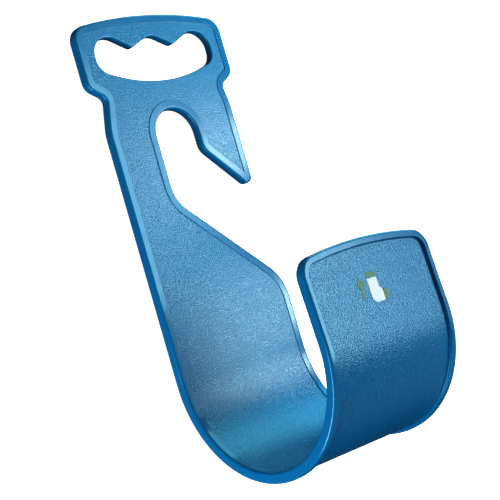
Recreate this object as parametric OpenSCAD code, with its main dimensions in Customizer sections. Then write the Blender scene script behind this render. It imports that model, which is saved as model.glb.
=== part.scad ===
// Sock aid, moulded in one piece of polypropylene: a flat arm with a finger grip
// and a hook, which rolls over at its other end into an open cradle for the foot.
// Lengths are in millimetres. The part lies on the back of its arm: X runs along
// the arm towards the grip, Y across it and Z up. The origin is under the middle
// of the bounding box. The outlines are drawn from the line where the bend starts.

/* [Cradle] */
// Width of the strip that makes the cradle and the lower arm
cradle_w = 105; // [96:1:115]
// Inside radius of the bend that the foot passes through
bend_r = 59.5; // [54:0.5:65]
// Angle that the strip turns through
bend_angle = 183; // [175:1:185]
// Length of the free leg past the bend, at its middle
leg_l = 49.5; // [40:0.5:60]
// Radius of the leg's two free corners
leg_corner_r = 12; // [8:1:16]

/* [Arm] */
// Length of the arm, from the start of the bend to the crown of the grip
arm_l = 228; // [226:1:250]
// Radius of the crowned edges at the ends of the arm and the leg
crown_r = 290; // [240:10:400]
// Distance from the bend to the start of the slanted side cut
cut_x = 45.5; // [40:0.5:50]
// Distance from the bend to the lower end of the slot's straight side
slot_x = 108.5; // [100:0.5:112]

/* [Grip] */
// Width of the grip
grip_w = 118; // [116:1:126]
// Radius of the grip's two upper corners
grip_corner_r = 10.5; // [8:0.5:14]
// Width of the finger opening, across the arm
finger_w = 93; // [93:1:96]
// Radius of the palm side of the finger opening
palm_r = 110; // [100:5:140]

/* [Hook] */
// Width of the slot beside the hook
slot_w = 33.4; // [28:0.2:36]
// Distance from the hook's outer edge to the arm's centre line
hook_edge = 49.7; // [48:0.1:52]
// Radius of the hook's blunt tip
tip_r = 4.5; // [3:0.5:5]

/* [Section] */
// Thickness of the rim
rim_t = 6.7; // [6:0.1:8]
// Width of the rim's flat border, on the side that faces the foot
border_w = 5.6; // [4.5:0.1:6.2]
// Width of the border on the outer side
outer_border_w = 4.5; // [3.5:0.1:6]
// Depth of the panel below the border, on the side that faces the foot
inner_recess = 0.6; // [0.4:0.1:1]
// Depth of the panel below the border, on the outer side
outer_recess = 2.2; // [1.5:0.1:2.5]
// Width of the flange behind the finger opening
flange_w = 2.5; // [2:0.25:4]

/* [Print] */
// Height of the sock pictogram
sock_h = 17; // [12:1:20]
// Thickness of the printed ink
ink_t = 0.15; // [0.1:0.05:0.3]

/* [Hidden] */

plastic_blue = [0.16, 0.45, 0.66];
ink_white = [0.95, 0.96, 0.96];
ink_green = [0.24, 0.56, 0.24];

arc_step = 6;             // degrees between the points of a rounded corner
crown_steps = 6;          // points on each half of a crowned edge
bend_steps = ceil(bend_angle / 3);
past = 1;                 // how far a cutter runs past the face it cuts
slack = 0.01;             // a hair, which keeps two curves or outlines from just touching
seam_run = 20;            // how far a pocket's outline runs past the seam that it crosses

half_w = cradle_w / 2;
outer_r = bend_r + rim_t;
grip_half = grip_w / 2;
middle_x = (arm_l - outer_r) / 2;

// Neck: the two dents below the grip
neck_x = arm_l - 50.5;
neck_half = 47.5;
neck_r = 5;
shoulder_x = arm_l - 43.5;
shoulder_r = 8;
taper_x = arm_l - 72;     // where the near edge starts to run in to the neck
hook_taper_x = arm_l - 63;
taper_r = 30;

// Slot: its middle is a little off the centre line, towards the near edge
slot_top_x = arm_l - 62.1;
slot_y = 1;
slot_r = slot_w / 2;
slot_near_y = slot_y + slot_r;
slot_far_y = slot_y - slot_r;
slot_mouth_r = 20;
cut_r = 30;

// Hook: its lower edge slants from the slot to the tip
hook_x = arm_l - 90.5;
hook_slant = 46;
hook_r = 10;
tip_x = hook_x - (hook_edge + slot_far_y) / tan(hook_slant);

// Finger opening: a curved palm side, and three finger grooves towards the crown
finger_half = finger_w / 2;
palm_x = arm_l - 43.1;
palm_half = 33;
groove_x = arm_l - 12.9;
groove_y = 31.2;
groove_r = 12;
groove_end_r = 11.4;
middle_groove_x = arm_l - 12.6;
tooth_x = arm_l - 20.6;
tooth_y = 16.5;
tooth_r = 4;
palm_end_x = arm_l - 33.6;
palm_end_r = 10;

// Print: the middle of the pictogram on the leg, and its proportions. Those of the
// sock are measured from its middle, and those of the arrow from the arrow's.
print_at = [21, 3];
sock_w = sock_h * 0.8;
sock_shift = sock_w * 0.25;       // how far the sock is moved aside for the arrow
heel = [-sock_w * 0.42, -sock_h * 0.5];
toe = [sock_w * 0.58, -sock_h * 0.1];
ankle_x = sock_w * 0.14;
heel_r = sock_h * 0.22;
toe_r = sock_h * 0.2;
sole_r = sock_h * 0.16;
ankle_r = sock_h * 0.12;
cuff_r = sock_h * 0.03;
cuff_h = sock_h * 0.16;
toe_l = sock_h * 0.2;
band_gap = sock_h * 0.035;
arrow_shift = -sock_w * 0.62;
arrow_tail_y = -sock_h * 0.3;
arrow_neck_y = sock_h * 0.12;
arrow_tip_y = sock_h * 0.42;
arrow_stem_w = sock_h * 0.14;
arrow_head_w = sock_h * 0.44;

// ---- outlines -------------------------------------------------------------
// An outline is a list of corners, [x, y, rounding radius], anticlockwise.

function xy(corners, i) =
    let (c = corners[(i + len(corners)) % len(corners)]) [c.x, c.y];

function unit(a, b) = (b - a) / norm(b - a);

function left_of(a, b) = let (u = unit(a, b)) [-u.y, u.x];

// The points of one rounded corner at p, between its neighbours a and b
function round_corner(a, p, b, r) =
    let (
        u = unit(p, a),
        v = unit(p, b),
        half = acos(u * v) / 2,
        centre = p + (u + v) / norm(u + v) * r / sin(half),
        start = p + u * r / tan(half) - centre,
        turn = -sign(cross(u, v)) * (180 - 2 * half),
        steps = ceil(abs(turn) / arc_step),
        from = atan2(start.y, start.x)
    )
    [for (i = [0 : steps]) centre + r * [cos(from + turn * i / steps), sin(from + turn * i / steps)]];

// All the points of an outline
function rounded(corners) = [
    for (i = [0 : len(corners) - 1])
        let (p = xy(corners, i), r = corners[i].z)
        each (r == 0 ? [p] : round_corner(xy(corners, i - 1), p, xy(corners, i + 1), r))
];

// The same outline moved in by w all round, or out where w is negative
function inset(corners, w) = [
    for (i = [0 : len(corners) - 1])
        let (
            p = xy(corners, i),
            r = corners[i].z,
            n1 = left_of(xy(corners, i - 1), p),
            n2 = left_of(p, xy(corners, i + 1)),
            q = p + (n1 + n2) * w / (1 + n1 * n2),
            new_r = cross(n1, n2) > 0 ? r - w : r + w
        )
        [q.x, q.y, r == 0 ? 0 : max(new_r, 0)]
];

// A crowned edge that bulges towards +X: its height at y, and its corners
function crown_x(top, y) = top - crown_r + sqrt(crown_r * crown_r - y * y);

function crown(top, half) = [
    for (i = [-crown_steps : crown_steps])
        let (y = half * i / crown_steps) [crown_x(top, y), y, 0]
];

function palm_side() = [
    for (i = [crown_steps : -1 : -crown_steps])
        let (y = palm_half * i / crown_steps)
        [palm_x + palm_r - sqrt(palm_r * palm_r - y * y), y, 0]
];

function arm_corners(x0) = [
    [x0, -half_w, 0],
    [cut_x, -half_w, cut_r],
    [slot_x, slot_near_y, slot_mouth_r],
    [slot_top_x, slot_near_y, slot_r - slack],
    [slot_top_x, slot_far_y, slot_r - slack],
    [hook_x, slot_far_y, hook_r],
    [tip_x, -hook_edge, tip_r],
    [hook_taper_x, -hook_edge, taper_r],
    [neck_x, -neck_half, neck_r],
    [shoulder_x, -grip_half, shoulder_r],
    [crown_x(arm_l, grip_half), -grip_half, grip_corner_r],
    each crown(arm_l, grip_half - grip_corner_r + 1),
    [crown_x(arm_l, grip_half), grip_half, grip_corner_r],
    [shoulder_x, grip_half, shoulder_r],
    [neck_x, neck_half, neck_r],
    [taper_x, half_w, taper_r],
    [x0, half_w, 0]
];

function leg_corners(x0, half) = [
    [x0, -half, 0],
    [crown_x(leg_l, half), -half, leg_corner_r],
    each crown(leg_l, half - leg_corner_r),
    [crown_x(leg_l, half), half, leg_corner_r],
    [x0, half, 0]
];

// One side of the finger grooves, from the palm side's end to the first tooth
function groove_side(s) = [
    [palm_end_x, s * finger_half, palm_end_r],
    [groove_x, s * finger_half, groove_end_r],
    [groove_x, s * groove_y, groove_r],
    [tooth_x, s * tooth_y, tooth_r]
];

function finger_corners() =
    let (far = groove_side(-1), near = groove_side(1))
    concat(far, [[middle_groove_x, 0, groove_r]], [for (i = [3 : -1 : 0]) near[i]], palm_side());

// ---- body -----------------------------------------------------------------

module outline(corners) { polygon(rounded(corners)); }

// The arm lies flat with its inner face up. Its two panels are sunk below the
// border, and they run on past the seam with the bend, at x = 0.
module arm() {
    inner_panel = inset(arm_corners(-seam_run), border_w);
    outer_panel = inset(arm_corners(-seam_run), outer_border_w);
    difference() {
        union() {
            difference() {
                linear_extrude(rim_t) outline(arm_corners(0));
                translate([0, 0, rim_t - inner_recess]) linear_extrude(inner_recess + past)
                    outline(inner_panel);
                translate([0, 0, -past]) linear_extrude(outer_recess + past)
                    outline(outer_panel);
            }
            linear_extrude(rim_t - inner_recess) outline(inset(finger_corners(), -flange_w));
        }
        translate([0, 0, -past]) linear_extrude(rim_t + 2 * past) outline(finger_corners());
    }
}

// A layer of the bend and the leg between two radii, seen from the side
function side_point(r, i) =
    let (a = 270 - bend_angle * i / bend_steps) [r * cos(a), outer_r + r * sin(a)];

function leg_end(r) = side_point(r, bend_steps)
    + (leg_l + past) * [cos(180 - bend_angle), sin(180 - bend_angle)];

module side_layer(r_in, r_out, run_out) {
    polygon(concat(
        [[run_out, outer_r - r_out]],
        [for (i = [0 : bend_steps]) side_point(r_out, i)],
        [leg_end(r_out), leg_end(r_in)],
        [for (i = [bend_steps : -1 : 0]) side_point(r_in, i)],
        [[run_out, outer_r - r_in]]
    ));
}

// Turns a shape on the bend's axis to lie square to the leg, at a height above it
module on_leg(height) {
    translate([0, 0, outer_r]) rotate([0, bend_angle - 180, 0])
        translate([0, 0, height]) children();
}

// The same layer of a given width, trimmed to an outline drawn square to the leg
module curl(r_in, r_out, half, edge, run_out = 0) {
    reach = outer_r + 2 * past;
    intersection() {
        translate([0, half, 0]) rotate([90, 0, 0])
            linear_extrude(2 * half) side_layer(r_in, r_out, run_out);
        on_leg(-reach) linear_extrude(2 * reach) outline(edge);
    }
}

// The trimming outline is a little wider than the strip, so it only shapes the end
module cradle() {
    edge = leg_corners(-2 * outer_r, half_w + slack);
    difference() {
        curl(bend_r, outer_r, half_w, edge);
        curl(bend_r - past, bend_r + inner_recess, half_w - border_w,
            inset(edge, border_w), past);
        curl(outer_r - outer_recess, outer_r + past, half_w - outer_border_w,
            inset(edge, outer_border_w), past);
    }
}

// ---- print ----------------------------------------------------------------
// The pictogram is drawn upright, with x to its right and y up.

function sock_corners() = [
    [heel.x, heel.y, heel_r],
    [toe.x, heel.y, sole_r],
    [toe.x, toe.y, toe_r],
    [ankle_x, toe.y, ankle_r],
    [ankle_x, sock_h / 2, cuff_r],
    [heel.x, sock_h / 2, cuff_r]
];

module sock() { outline(sock_corners()); }

// The parts of the sock in the second colour, grown by a gap where wanted
module bands(gap = 0) {
    reach = sock_h * 2;
    translate([-reach / 2, sock_h / 2 - cuff_h - gap]) square([reach, reach]);
    translate([toe.x - toe_l - gap, -reach / 2]) square([reach, reach / 2]);
}

module arrow() {
    stem = arrow_stem_w / 2;
    head = arrow_head_w / 2;
    polygon([
        [-stem, arrow_tail_y], [stem, arrow_tail_y],
        [stem, arrow_neck_y], [head, arrow_neck_y],
        [0, arrow_tip_y],
        [-head, arrow_neck_y], [-stem, arrow_neck_y]
    ]);
}

// Ink on the leg's outer panel. The pictogram's top points along the leg.
module ink() {
    on_leg(outer_r - outer_recess) translate([print_at.x, print_at.y, 0]) rotate([0, 0, -90])
        linear_extrude(ink_t) children();
}

// ---- sub-parts ------------------------------------------------------------

module moulded_body() {
    color(plastic_blue) translate([-middle_x, 0, 0]) union() {
        arm();
        cradle();
    }
}

module printed_sock() {
    color(ink_white) translate([-middle_x, 0, 0]) ink() translate([sock_shift, 0])
        difference() {
            sock();
            bands(band_gap);
        }
}

module printed_accents() {
    color(ink_green) translate([-middle_x, 0, 0]) ink() {
        translate([sock_shift, 0]) intersection() {
            sock();
            bands();
        }
        translate([arrow_shift, 0]) arrow();
    }
}

moulded_body();
printed_sock();
printed_accents();
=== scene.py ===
"""Sock aid: the finished surface of its one moulding, its print, and a plain studio.

The moulding is drawn in a developed plane and then bent. In that plane, s runs along
the strip (arm from 0 up, bend and leg below 0), y runs across it, and h is the height
above the strip's outer face. Lengths in the plane are millimetres, as on a drawing.
"""
import math

import bmesh
import bpy
import numpy as np
from mathutils import Matrix, Vector
from mathutils.geometry import delaunay_2d_cdt


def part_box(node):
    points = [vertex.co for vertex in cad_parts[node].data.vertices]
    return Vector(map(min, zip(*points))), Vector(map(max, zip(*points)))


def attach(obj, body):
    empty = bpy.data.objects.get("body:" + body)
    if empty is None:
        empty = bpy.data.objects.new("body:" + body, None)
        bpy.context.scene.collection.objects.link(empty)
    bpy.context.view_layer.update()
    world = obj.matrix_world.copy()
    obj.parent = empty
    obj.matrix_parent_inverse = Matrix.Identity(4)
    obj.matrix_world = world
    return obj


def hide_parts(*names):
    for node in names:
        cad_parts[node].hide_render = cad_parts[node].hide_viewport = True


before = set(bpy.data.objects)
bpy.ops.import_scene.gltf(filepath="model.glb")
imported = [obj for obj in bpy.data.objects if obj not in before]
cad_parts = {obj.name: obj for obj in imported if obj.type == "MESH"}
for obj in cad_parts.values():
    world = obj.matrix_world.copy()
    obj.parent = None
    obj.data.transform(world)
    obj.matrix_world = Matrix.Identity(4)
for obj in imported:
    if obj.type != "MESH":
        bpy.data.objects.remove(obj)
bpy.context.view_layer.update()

MM = 0.001

# ---- driving dimensions, in millimetres -------------------------------------
low, high = (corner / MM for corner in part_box("moulded_body"))
OUTER_R = (high.z - low.z) / 2
BEND_X = low.x + OUTER_R          # where the bend starts
ARM_L = high.x - BEND_X           # from there to the crown of the grip
GRIP_HALF = (high.y - low.y) / 2

HALF_W = 52.5
RIM_T = 6.7
BEND_ANGLE = math.radians(183)
LEG_L = 49.5
LEG_CORNER_R = 12
CROWN_R = 290
BORDER_W = 5.6                    # on the inner face
OUTER_BORDER_W = 4.5              # on the outer face
INNER_RECESS = 0.6
OUTER_RECESS = 2.2
FLANGE_W = 2.5

EDGE_R = 1.7                      # rounding of the rim's outer edges
INNER_STEP_R = 0.28               # fillets of the shallow step on the inner face
OUTER_STEP_R = 0.55               # fillets of the deep step on the outer face
HOLE_EDGE_R = 0.9                 # rounding of the finger opening's edges

BEND_L = BEND_ANGLE * (OUTER_R - RIM_T / 2)
BEND_STEPS = 84                   # stations along the bend
STRAIGHT_STEP = 6.0               # spacing of points along straight edges
ARC_STEP = math.radians(5)        # angle between points of a rounded corner
LATTICE_S, LATTICE_Y = 6.0, 7.2   # spacing of points inside the panels
LATTICE_HALF_ROWS = 6             # rows of them on each side of the middle
LATTICE_GAP = 2.6                 # how far they stay from the panel's edge
SLACK = 0.01                      # a hair, which keeps two arcs from just touching
SEAM_SLACK = 1                    # how far past the bend's ends its edges may reach


# ---- outlines -----------------------------------------------------------------
# An outline is a list of corners (s, y, rounding radius), anticlockwise.

def crown_drop(y):
    """How far a crowned end edge falls back at y."""
    return CROWN_R - math.sqrt(CROWN_R ** 2 - y ** 2)


def crown(top, half, steps=8):
    return [(top - crown_drop(y), y, 0) for y in np.linspace(-half, half, 2 * steps + 1)]


def strip_corners():
    """The whole strip: leg, bend, arm, hook and grip."""
    leg_end = -BEND_L - LEG_L
    leg_corner_s = leg_end + crown_drop(HALF_W)
    leg_crown = [(-s, -y, 0) for s, y, _ in crown(-leg_end, HALF_W - LEG_CORNER_R)]

    cut_s, cut_r = 45.5, 30
    mouth_s, mouth_r = 108.5, 20
    slot_top, slot_r, slot_middle = ARM_L - 62.1, 16.7, 1
    slot_near, slot_far = slot_middle + slot_r, slot_middle - slot_r

    hook_s, hook_r, hook_edge = ARM_L - 90.5, 10, 49.7
    hook_slant = math.radians(46)
    tip_s, tip_r = hook_s - (hook_edge + slot_far) / math.tan(hook_slant), 4.5
    hook_taper_s, taper_s, taper_r = ARM_L - 63, ARM_L - 72, 30

    neck_s, neck_half, neck_r = ARM_L - 50.5, 47.5, 5
    shoulder_s, shoulder_r = ARM_L - 43.5, 8
    grip_s, grip_corner_r = ARM_L - crown_drop(GRIP_HALF), 10.5
    grip_crown = crown(ARM_L, GRIP_HALF - grip_corner_r + 1)
    return [
        (leg_corner_s, -HALF_W, LEG_CORNER_R),
        (-BEND_L, -HALF_W, 0),
        (0, -HALF_W, 0),
        (cut_s, -HALF_W, cut_r),
        (mouth_s, slot_near, mouth_r),
        (slot_top, slot_near, slot_r - SLACK),
        (slot_top, slot_far, slot_r - SLACK),
        (hook_s, slot_far, hook_r),
        (tip_s, -hook_edge, tip_r),
        (hook_taper_s, -hook_edge, taper_r),
        (neck_s, -neck_half, neck_r),
        (shoulder_s, -GRIP_HALF, shoulder_r),
        (grip_s, -GRIP_HALF, grip_corner_r),
        *grip_crown,
        (grip_s, GRIP_HALF, grip_corner_r),
        (shoulder_s, GRIP_HALF, shoulder_r),
        (neck_s, neck_half, neck_r),
        (taper_s, HALF_W, taper_r),
        (0, HALF_W, 0),
        (-BEND_L, HALF_W, 0),
        (leg_corner_s, HALF_W, LEG_CORNER_R),
        *leg_crown,
    ]


def finger_corners():
    """The finger opening: three grooves towards the crown and a curved palm side."""
    half_w = 46.5
    palm_end_s, palm_end_r = ARM_L - 33.6, 10
    groove_s, groove_y, groove_r, end_r = ARM_L - 12.9, 31.2, 12, 11.4
    tooth_s, tooth_y, tooth_r = ARM_L - 20.6, 16.46, 4
    middle_groove_s = ARM_L - 12.6
    palm_s, palm_r, palm_half, palm_points = ARM_L - 43.1, 110, 33, 15
    side = [
        (palm_end_s, half_w, palm_end_r),
        (groove_s, half_w, end_r),
        (groove_s, groove_y, groove_r),
        (tooth_s, tooth_y, tooth_r),
    ]
    palm = [(palm_s + palm_r - math.sqrt(palm_r ** 2 - y ** 2), y, 0)
            for y in np.linspace(palm_half, -palm_half, palm_points)]
    far_side = [(s, -y, r) for s, y, r in side]
    return far_side + [(middle_groove_s, 0, groove_r)] + side[::-1] + palm


def unit(v):
    return v / np.linalg.norm(v)


def left_of(v):
    return np.array([-v[1], v[0]])


def turns(corners):
    """For each corner: its point, radius, the normals of its two edges, and its turn."""
    pts = np.array([c[:2] for c in corners], float)
    ahead = np.roll(pts, -1, axis=0) - pts
    ahead = ahead / np.linalg.norm(ahead, axis=1)[:, None]
    out = []
    for i, (_, _, r) in enumerate(corners):
        before, after = ahead[i - 1], ahead[i]
        turn = math.atan2(before[0] * after[1] - before[1] * after[0], before @ after)
        out.append((pts[i], r, left_of(before), left_of(after), turn))
    return out


class Outline:
    """An outline that gives loops at any inset, all with the same number of points."""

    def __init__(self, corners):
        self.corners = turns(corners)
        self.arc_steps = [math.ceil(abs(c[4]) / ARC_STEP) if c[1] else 0 for c in self.corners]
        base = self.arcs(0)
        self.run_steps = []
        for i, arc in enumerate(base):
            start, end = arc[-1][0], base[(i + 1) % len(base)][0][0]
            length = np.linalg.norm(end - start)
            low_s, high_s = sorted((start[0], end[0]))
            along_bend = low_s > -BEND_L - SEAM_SLACK and high_s < SEAM_SLACK
            steps = BEND_STEPS if along_bend else max(1, round(length / STRAIGHT_STEP))
            self.run_steps.append(steps)

    def arcs(self, inset):
        """One list of (point, outward direction) per corner."""
        out = []
        for (p, r, n1, n2, turn), steps in zip(self.corners, self.arc_steps):
            q = p + (n1 + n2) * inset / (1 + n1 @ n2)
            if not r:
                out.append([(q, -unit(n1 + n2))])
                continue
            side = math.copysign(1, turn)
            new_r = max(r - side * inset, 0)
            centre = q + (n1 + n2) / (1 + n1 @ n2) * new_r * side
            start = math.atan2(-n1[1], -n1[0])
            ring = []
            for k in range(steps + 1):
                a = start + turn * k / steps
                out_dir = np.array([math.cos(a), math.sin(a)])
                ring.append((centre + out_dir * new_r * side, out_dir))
            out.append(ring)
        return out

    def loop(self, inset):
        """Points and outward directions all round, at an inset."""
        arcs = self.arcs(inset)
        pts, dirs = [], []
        for i, arc in enumerate(arcs):
            pts += [p for p, _ in arc]
            dirs += [d for _, d in arc]
            start, d = arc[-1]
            end = arcs[(i + 1) % len(arcs)][0][0]
            steps = self.run_steps[i]
            for k in range(1, steps):
                pts.append(start + (end - start) * k / steps)
                dirs.append(d)
        return np.array(pts), np.array(dirs)


# ---- edge sections --------------------------------------------------------------
# A section is a list of (inset, height, (inward, upward) normal), as a ring's profile.

def quarter(centre, radius, start, turn, steps):
    """Points on a rounded edge of the section. Angles are from inward towards up.
    A negative radius gives a hollow fillet, whose normals point to its centre."""
    out = []
    for k in range(steps + 1):
        a = math.radians(start + turn * k / steps)
        c, s = math.cos(a), math.sin(a)
        out.append((centre[0] + abs(radius) * c, centre[1] + abs(radius) * s,
                    (math.copysign(1, radius) * c, math.copysign(1, radius) * s)))
    return out


def rim_section():
    """From the inner panel over the border and round the outside to the outer panel."""
    r, f, g = EDGE_R, INNER_STEP_R, OUTER_STEP_R
    top = RIM_T
    return [
        *quarter((BORDER_W + f, top - INNER_RECESS + f), -f, 270, -90, 3),
        *quarter((BORDER_W - f, top - f), f, 0, 90, 3),
        *quarter((r, top - r), r, 90, 90, 6),
        *quarter((r, r), r, 180, 90, 6),
        *quarter((OUTER_BORDER_W - g, g), g, 270, 90, 4),
        *quarter((OUTER_BORDER_W + g, OUTER_RECESS - g), -g, 180, -90, 4),
    ]


def hole_section():
    """From the inner panel down the finger opening's wall to its flange and outwards.
    Insets are negative here, because they run from the opening into the plastic."""
    r, g = HOLE_EDGE_R, OUTER_STEP_R
    panel = RIM_T - INNER_RECESS
    return [
        *quarter((-r, panel - r), r, 90, -90, 5),
        *quarter((-r, r), r, 0, -90, 5),
        *quarter((-FLANGE_W + g, g), g, 270, -90, 4),
        *quarter((-FLANGE_W - g, OUTER_RECESS - g), -g, 0, 90, 4),
    ]


# ---- the bent surface -------------------------------------------------------------

class Surface:
    """Collects vertices (s, y, h) with their normals, and faces with a material index."""

    def __init__(self):
        self.points, self.normals, self.faces, self.face_slots = [], [], [], []

    def add(self, point, normal):
        self.points.append(point)
        self.normals.append(normal)
        return len(self.points) - 1

    def ring(self, outline, inset, height, normal):
        """One loop of a section, as vertex indices."""
        pts, dirs = outline.loop(inset)
        inward, up = normal
        return [self.add((p[0], p[1], height), (-d[0] * inward, -d[1] * inward, up))
                for p, d in zip(pts, dirs)]

    def skirt(self, outline, section, slot):
        """All the loops of a section, joined by quads."""
        rings = [self.ring(outline, *station) for station in section]
        for upper, lower in zip(rings, rings[1:]):
            for i in range(len(upper)):
                j = (i + 1) % len(upper)
                self.faces.append((upper[i], lower[i], lower[j], upper[j]))
                self.face_slots.append(slot)
        return rings[0], rings[-1]

    def panel(self, edge, hole, height, up, slot):
        """Fills between an edge loop and a hole loop with a regular lattice."""
        keep, seen = [], {}
        loops = []
        for loop in (edge, hole):
            ids = []
            for v in loop:
                key = tuple(round(c, 4) for c in self.points[v][:2])
                if key not in seen:
                    seen[key] = len(keep)
                    keep.append(v)
                if not ids or ids[-1] != seen[key]:
                    ids.append(seen[key])
            if ids[0] == ids[-1]:
                ids.pop()
            loops.append(ids)
        plane = [Vector(self.points[v][:2]) for v in keep]
        edges = [(ids[i], ids[(i + 1) % len(ids)]) for ids in loops for i in range(len(ids))]
        rims = [np.array([plane[i] for i in ids]) for ids in loops]
        for s, y in lattice():
            p = np.array([s, y])
            if inside(p, rims[0]) and not inside(p, rims[1]) and clear(p, rims, LATTICE_GAP):
                keep.append(self.add((s, y, height), (0, 0, up)))
                plane.append(Vector((s, y)))
        verts, _, faces, origin, _, _ = delaunay_2d_cdt(plane, edges, [], 0, 1e-5, True)
        for face in faces:
            middle = np.mean([verts[i] for i in face], axis=0)
            if inside(middle, rims[0]) and not inside(middle, rims[1]):
                ids = [keep[origin[i][0]] for i in face]
                self.faces.append(ids if up > 0 else ids[::-1])
                self.face_slots.append(slot)

    def bent(self):
        """Points in metres in the row frame, and unit normals."""
        p, n = np.array(self.points), np.array(self.normals)
        a = np.clip(-p[:, 0] / BEND_L, 0, 1) * BEND_ANGLE
        r = OUTER_R - p[:, 2]
        run = np.where(p[:, 0] > 0, p[:, 0], np.minimum(p[:, 0] + BEND_L, 0))
        c, s = np.cos(a), np.sin(a)
        x = BEND_X - r * s + run * c
        z = OUTER_R - r * c - run * s
        normals = np.stack([n[:, 0] * c + n[:, 2] * s, n[:, 1], n[:, 2] * c - n[:, 0] * s], 1)
        normals /= np.linalg.norm(normals, axis=1)[:, None]
        return np.stack([x, p[:, 1], z], 1) * MM, normals


def lattice():
    """Points for the inside of a panel. Their stations match the bend's."""
    rows = np.arange(-LATTICE_HALF_ROWS, LATTICE_HALF_ROWS + 1) * LATTICE_Y
    bend = -np.arange(BEND_STEPS + 1) / BEND_STEPS * BEND_L
    arm = np.arange(LATTICE_S, ARM_L, LATTICE_S)
    leg = -BEND_L - np.arange(LATTICE_S, LEG_L, LATTICE_S)
    return [(s, y) for s in (*leg, *bend, *arm) for y in rows]


def inside(p, rim):
    """Whether p is inside a closed loop, by counting crossings."""
    a, b = rim, np.roll(rim, -1, axis=0)
    cross = (a[:, 1] > p[1]) != (b[:, 1] > p[1])
    if not cross.any():
        return False
    a, b = a[cross], b[cross]
    at = a[:, 0] + (p[1] - a[:, 1]) * (b[:, 0] - a[:, 0]) / (b[:, 1] - a[:, 1])
    return bool(np.count_nonzero(at > p[0]) % 2)


def clear(p, rims, gap):
    return all(np.min(np.sum((rim - p) ** 2, axis=1)) > gap ** 2 for rim in rims)


def build_moulding():
    """The moulding as one closed mesh, with the rim in slot 0 and the panels in slot 1."""
    surface = Surface()
    edge_in, edge_out = surface.skirt(Outline(strip_corners()), rim_section(), 0)
    hole_in, hole_out = surface.skirt(Outline(finger_corners()), hole_section(), 0)
    surface.panel(edge_in, hole_in, RIM_T - INNER_RECESS, 1, 1)
    surface.panel(edge_out, hole_out, OUTER_RECESS, -1, 1)
    points, normals = surface.bent()

    mesh = bpy.data.meshes.new("moulding")
    mesh.from_pydata(points.tolist(), [], [list(f) for f in surface.faces])
    mesh.attributes.new("rest_normal", "FLOAT_VECTOR", "POINT")
    mesh.attributes["rest_normal"].data.foreach_set("vector", normals.astype(np.float32).ravel())
    for polygon, slot in zip(mesh.polygons, surface.face_slots):
        polygon.material_index = slot
    tidy_mesh(mesh)
    ob = bpy.data.objects.new("moulding", mesh)
    bpy.context.scene.collection.objects.link(ob)
    return ob


def tidy_mesh(mesh):
    """Merges the points that meet at sharp corners, makes quads, and sets the normals."""
    bm = bmesh.new()
    bm.from_mesh(mesh)
    bmesh.ops.remove_doubles(bm, verts=bm.verts, dist=2e-6)
    bmesh.ops.dissolve_degenerate(bm, dist=1e-6, edges=bm.edges)
    bmesh.ops.join_triangles(bm, faces=bm.faces, angle_face_threshold=math.radians(4),
                             angle_shape_threshold=math.radians(50), cmp_materials=True)
    bmesh.ops.recalc_face_normals(bm, faces=bm.faces)
    bm.to_mesh(mesh)
    bm.free()
    mesh.polygons.foreach_set("use_smooth", [True] * len(mesh.polygons))
    normals = np.zeros(len(mesh.vertices) * 3, np.float32)
    mesh.attributes["rest_normal"].data.foreach_get("vector", normals)
    mesh.attributes.remove(mesh.attributes["rest_normal"])
    mesh.normals_split_custom_set_from_vertices(normals.reshape(-1, 3).tolist())


# ---- materials -----------------------------------------------------------------

def new_material(name, color, roughness):
    """A principled material, its node tree, and its shader node."""
    mat = bpy.data.materials.new(name)
    mat.use_nodes = True
    shader = mat.node_tree.nodes["Principled BSDF"]
    shader.inputs["Base Color"].default_value = (*color, 1)
    shader.inputs["Roughness"].default_value = roughness
    return mat, mat.node_tree, shader


def noise(tree, scale, detail, roughness=0.5):
    coords = tree.nodes.new("ShaderNodeTexCoord")
    tex = tree.nodes.new("ShaderNodeTexNoise")
    tex.inputs["Scale"].default_value = scale
    tex.inputs["Detail"].default_value = detail
    tex.inputs["Roughness"].default_value = roughness
    tree.links.new(coords.outputs["Object"], tex.inputs["Vector"])
    return tex.outputs["Fac"]


def ramp(tree, factor, stops):
    """A colour ramp from (position, linear colour) stops."""
    node = tree.nodes.new("ShaderNodeValToRGB")
    node.color_ramp.elements[0].position, node.color_ramp.elements[-1].position = (
        stops[0][0], stops[-1][0])
    for position, _ in stops[1:-1]:
        node.color_ramp.elements.new(position)
    for element, (_, color) in zip(node.color_ramp.elements, stops):
        element.color = (*color, 1)
    tree.links.new(factor, node.inputs["Fac"])
    return node.outputs["Color"]


def bump(tree, shader, height, strength, distance):
    node = tree.nodes.new("ShaderNodeBump")
    node.inputs["Strength"].default_value = strength
    node.inputs["Distance"].default_value = distance
    tree.links.new(height, node.inputs["Height"])
    tree.links.new(node.outputs["Normal"], shader.inputs["Normal"])


def grey(value):
    return (value, value, value)


BLUE = (0.001, 0.095, 0.24)
# The panel's two grain colours: the darker is painted shade between the pebbles, the lighter is
# a painted sparkle on their tops.
GRAIN_PAINTED_SHADE_BLUE = (0.0004, 0.06, 0.165)
GRAIN_PAINTED_SPARKLE_BLUE = (0.0025, 0.13, 0.305)
SHEEN_TINT = (0.32, 0.8, 1, 1)
WHITE_INK = (0.8, 0.76, 0.74)
GREEN_INK = (0.008, 0.13, 0.015)


def rim_material():
    """Smooth gloss plastic with a faint unevenness in its polish."""
    mat, tree, shader = new_material("blue_gloss", BLUE, 0.2)
    shader.inputs["Specular Tint"].default_value = SHEEN_TINT
    polish = ramp(tree, noise(tree, 160, 3), [(0.3, grey(0.16)), (0.7, grey(0.25))])
    tree.links.new(polish, shader.inputs["Roughness"])
    bump(tree, shader, noise(tree, 500, 3), 0.2, 0.0001)
    return mat


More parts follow.
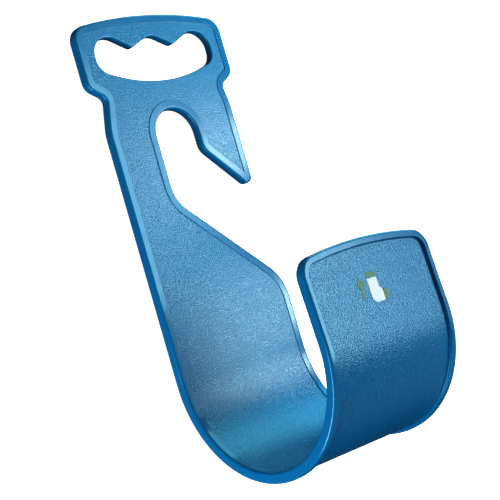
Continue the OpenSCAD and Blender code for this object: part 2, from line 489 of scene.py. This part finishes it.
def panel_material():
    """Fine moulded grain: small pebbles with smoother tops. Their base colour is painted lighter
    on the tops as a painted sparkle, and darker between them as painted shade.
    """
    mat, tree, shader = new_material("blue_grain_painted_sparkle", BLUE, 0.3)
    shader.inputs["Specular Tint"].default_value = SHEEN_TINT
    grain = noise(tree, 1300, 0)
    # Painted light: the base colour follows the bump's height. It is lighter on the tops as a
    # painted sparkle and darker in between as painted shade.
    color = ramp(tree, grain, [(0.34, GRAIN_PAINTED_SHADE_BLUE), (0.5, BLUE), (0.66, GRAIN_PAINTED_SPARKLE_BLUE)])
    tree.links.new(color, shader.inputs["Base Color"])
    rough = ramp(tree, grain, [(0.3, grey(0.28)), (0.7, grey(0.2))])
    tree.links.new(rough, shader.inputs["Roughness"])
    bump(tree, shader, grain, 0.9, 0.00022)
    return mat


def ink_material(name, color):
    """Pad-printed ink: nearly matt, with a faint grain showing through."""
    mat, tree, shader = new_material(name, color, 0.5)
    darker = tuple(0.86 * c for c in color)
    grain = noise(tree, 1500, 2, 0.6)
    tree.links.new(ramp(tree, grain, [(0.3, darker), (0.6, color)]), shader.inputs["Base Color"])
    bump(tree, shader, grain, 0.3, 0.0002)
    return mat


def dress(ob, *materials):
    """Gives an object its materials, and keeps each face's choice between them."""
    slots = ob.data.materials
    for i, material in enumerate(materials):
        if i < len(slots):
            slots[i] = material
        else:
            slots.append(material)


# ---- studio --------------------------------------------------------------------

def build_floor():
    """A white floor that curves up into a wall all round. Only the camera sees it, so
    that the plastic reflects the softboxes and not a white surface below. It glows, so
    it looks blank. Its profile is (radius, height) in metres."""
    profile = [(0, 0), (4, 0), (5, 0.1), (5.7, 0.45), (6.1, 1.1), (6.2, 2), (6.2, 6)]
    sides = 48
    verts = [(0, 0, 0)]
    for r, z in profile[1:]:
        verts += [(r * math.cos(t), r * math.sin(t), z)
                  for t in np.linspace(0, 2 * math.pi, sides, endpoint=False)]
    faces = [(0, 1 + i, 1 + (i + 1) % sides) for i in range(sides)]
    for k in range(len(profile) - 2):
        low_ring, high_ring = 1 + k * sides, 1 + (k + 1) * sides
        faces += [(low_ring + i, high_ring + i, high_ring + (i + 1) % sides,
                   low_ring + (i + 1) % sides) for i in range(sides)]
    mesh = bpy.data.meshes.new("floor")
    mesh.from_pydata(verts, [], faces)
    floor = bpy.data.objects.new("floor", mesh)
    bpy.context.scene.collection.objects.link(floor)
    mat, tree, shader = new_material("pale_floor", (0.9, 0.9, 0.9), 0.9)
    shader.inputs["Emission Color"].default_value = (1, 1, 1, 1)
    shader.inputs["Emission Strength"].default_value = 1.0
    tone = ramp(tree, noise(tree, 4, 2), [(0.3, grey(0.88)), (0.7, grey(0.9))])
    tree.links.new(tone, shader.inputs["Base Color"])
    floor.data.materials.append(mat)
    floor.visible_glossy = floor.visible_diffuse = False


def area_light(name, position, target, size, power, color):
    data = bpy.data.lights.new(name, "AREA")
    data.shape = "RECTANGLE"
    data.size, data.size_y = size
    data.energy = power
    data.color = color
    light = bpy.data.objects.new(name, data)
    light.location = position
    aim = Vector(target) - Vector(position)
    light.rotation_euler = aim.to_track_quat("-Z", "Y").to_euler()
    light.visible_camera = False
    bpy.context.scene.collection.objects.link(light)


def direction_ramp(tree, axis, stops):
    """A value that depends on one component, from -1 to 1, of the direction looked in."""
    coords = tree.nodes.new("ShaderNodeTexCoord")
    split = tree.nodes.new("ShaderNodeSeparateXYZ")
    tree.links.new(coords.outputs["Generated"], split.inputs["Vector"])
    scale = tree.nodes.new("ShaderNodeMapRange")
    scale.inputs["From Min"].default_value = -1
    tree.links.new(split.outputs[axis], scale.inputs["Value"])
    return ramp(tree, scale.outputs["Result"], [((at + 1) / 2, grey(v)) for at, v in stops])


def math_node(tree, operation, a, b):
    node = tree.nodes.new("ShaderNodeMath")
    node.operation = operation
    tree.links.new(a, node.inputs[0])
    tree.links.new(b, node.inputs[1])
    return node.outputs["Value"]


def build_world():
    """Dim surroundings: lighter behind the object than in front, and a faint glow from
    below that is stronger in front."""
    world = bpy.data.worlds.new("studio")
    bpy.context.scene.world = world
    world.use_nodes = True
    tree = world.node_tree
    back = tree.nodes["Background"]
    back.inputs["Color"].default_value = (0.6, 0.86, 1.0, 1)
    above = direction_ramp(tree, "Y", [(-0.8, 0.36), (-0.2, 0.25), (0.4, 0.2), (1, 0.16)])
    below = direction_ramp(tree, "Y", [(-0.4, 0.02), (0.2, 0.05), (0.6, 0.1), (1, 0.1)])
    is_above = direction_ramp(tree, "Z", [(-0.25, 0), (0.25, 1)])
    is_below = direction_ramp(tree, "Z", [(-0.65, 1), (-0.35, 0)])
    light = math_node(tree, "ADD", math_node(tree, "MULTIPLY", above, is_above),
                      math_node(tree, "MULTIPLY", below, is_below))
    tree.links.new(light, back.inputs["Strength"])


def build_lights():
    """A softbox behind and above, a small warm lamp each for the hook and the bend, and
    two bluish fills: one in front, and one behind on the grip's side. Each has its place,
    aim, size, power and colour, in metres and watts."""
    centre = (0, 0, 0.02)
    area_light("back_softbox", (0.03, -0.35, 0.62), centre,
               (0.5, 0.26), 5, (0.76, 0.9, 0.94))
    area_light("hook_lamp", (0.074, -0.14, 0.12), (0.2, -0.05, 0.03),
               (0.07, 0.05), 0.26, (1, 0.8, 0.7))
    area_light("bend_lamp", (-0.055, -0.14, 0.12), (-0.085, 0, 0),
               (0.03, 0.03), 0.12, (1, 0.78, 0.68))
    area_light("front_fill", (-0.28, 0.42, 0.05), centre,
               (0.4, 0.1), 3.4, (0.6, 0.88, 1))
    area_light("side_fill", (0.4, -0.42, 0.13), centre,
               (0.4, 0.4), 2.7, (0.2, 0.8, 1))


def build_camera():
    """The camera stands in front and above, and is rolled so that the arm's +X is up."""
    position = Vector((-49.4, 495.5, 583.1)) * MM
    target = Vector((-15.2, 0.9, 40)) * MM
    up = Vector((0.959, -0.177, 0.221))
    back = (position - target).normalized()
    right = up.cross(back).normalized()
    data = bpy.data.cameras.new("camera")
    data.sensor_width = 36
    data.lens = 87.85
    camera = bpy.data.objects.new("camera", data)
    camera.location = position
    camera.rotation_euler = Matrix((right, back.cross(right), back)).transposed().to_euler()
    bpy.context.scene.collection.objects.link(camera)
    bpy.context.scene.camera = camera


# ---- scene ---------------------------------------------------------------------

moulding = build_moulding()
dress(moulding, rim_material(), panel_material())
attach(moulding, "root")
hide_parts("moulded_body")

dress(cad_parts["printed_sock"], ink_material("ink_white", WHITE_INK))
dress(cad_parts["printed_accents"], ink_material("ink_green", GREEN_INK))

build_floor()
build_world()
build_lights()
build_camera()
bpy.context.scene.view_settings.view_transform = "Standard"
